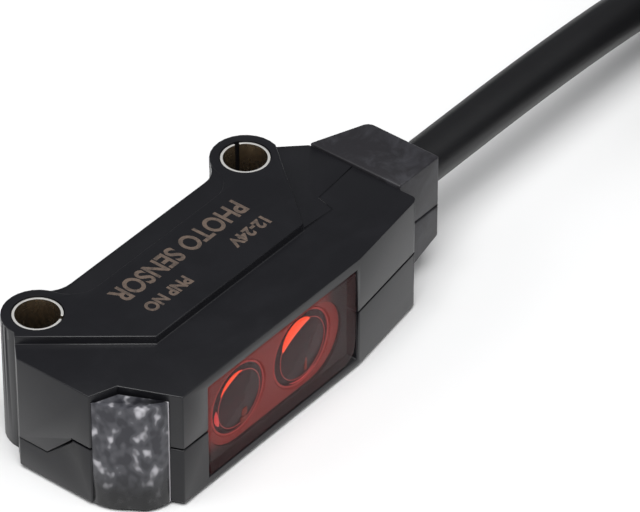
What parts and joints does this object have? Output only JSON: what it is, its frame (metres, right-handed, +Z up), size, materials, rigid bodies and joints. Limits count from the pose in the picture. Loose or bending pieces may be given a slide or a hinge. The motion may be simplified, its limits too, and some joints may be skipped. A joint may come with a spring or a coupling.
{
  "type": "photoelectric sensor",
  "caption": "Slim black photoelectric sensor with a red optical window, a clear indicator corner, sleeved side-mounting holes and a coiled cable with bare cores.",
  "frame": {"origin": "middle of the sensor's box without its cable, at the surface that its pads stand on", "axes": "+X along the case towards the cable, +Y from the front window towards the mounting holes, +Z up, along the mounting holes"},
  "size_m": [0.0793, 0.0491, 0.0153],
  "materials": {
    "case": "satin moulded black plastic",
    "sleeve_metal": "rolled plated steel",
    "red_window": "clear dark red plastic",
    "clear_window": "clear plastic light pipe",
    "holder_plastic": "matt dark plastic",
    "lens_plastic": "clear moulded lens",
    "led_body": "clear resin",
    "chip": "moulded package",
    "tinned_metal": "tinned",
    "board": "solder-masked laminate",
    "ceramic": "ceramic",
    "block_plastic": "satin over-moulding",
    "core_brown": "PVC insulation",
    "core_blue": "PVC insulation",
    "core_black": "PVC insulation",
    "cable_jacket": "satin PVC jacket"
  },
  "bodies": {
    "root": {"case_upper": "case", "case_lower": "case", "mounting_sleeve_1": "sleeve_metal", "mounting_sleeve_2": "sleeve_metal", "front_window": "red_window", "indicator_window": "clear_window", "lens_holder": "holder_plastic", "emitter_lens": "lens_plastic", "receiver_lens": "lens_plastic", "emitter_led": "led_body", "receiver_chip": "chip", "receiver_shield": "tinned_metal", "circuit_board": "board", "operation_led": "led_body", "stability_led": "led_body", "control_chip": "chip", "output_transistor": "chip", "protection_diode": "chip", "capacitor_1": "ceramic", "capacitor_2": "ceramic", "resistor_1": "chip", "resistor_2": "chip", "cable_block": "block_plastic", "brown_core": "core_brown", "blue_core": "core_blue", "black_core": "core_black", "cable": "cable_jacket", "cable_coil": "cable_jacket", "cable_tail": "cable_jacket", "brown_lead": "core_brown", "blue_lead": "core_blue", "black_lead": "core_black", "brown_tip": "tinned_metal", "blue_tip": "tinned_metal", "black_tip": "tinned_metal"}
  },
  "joints": []
}
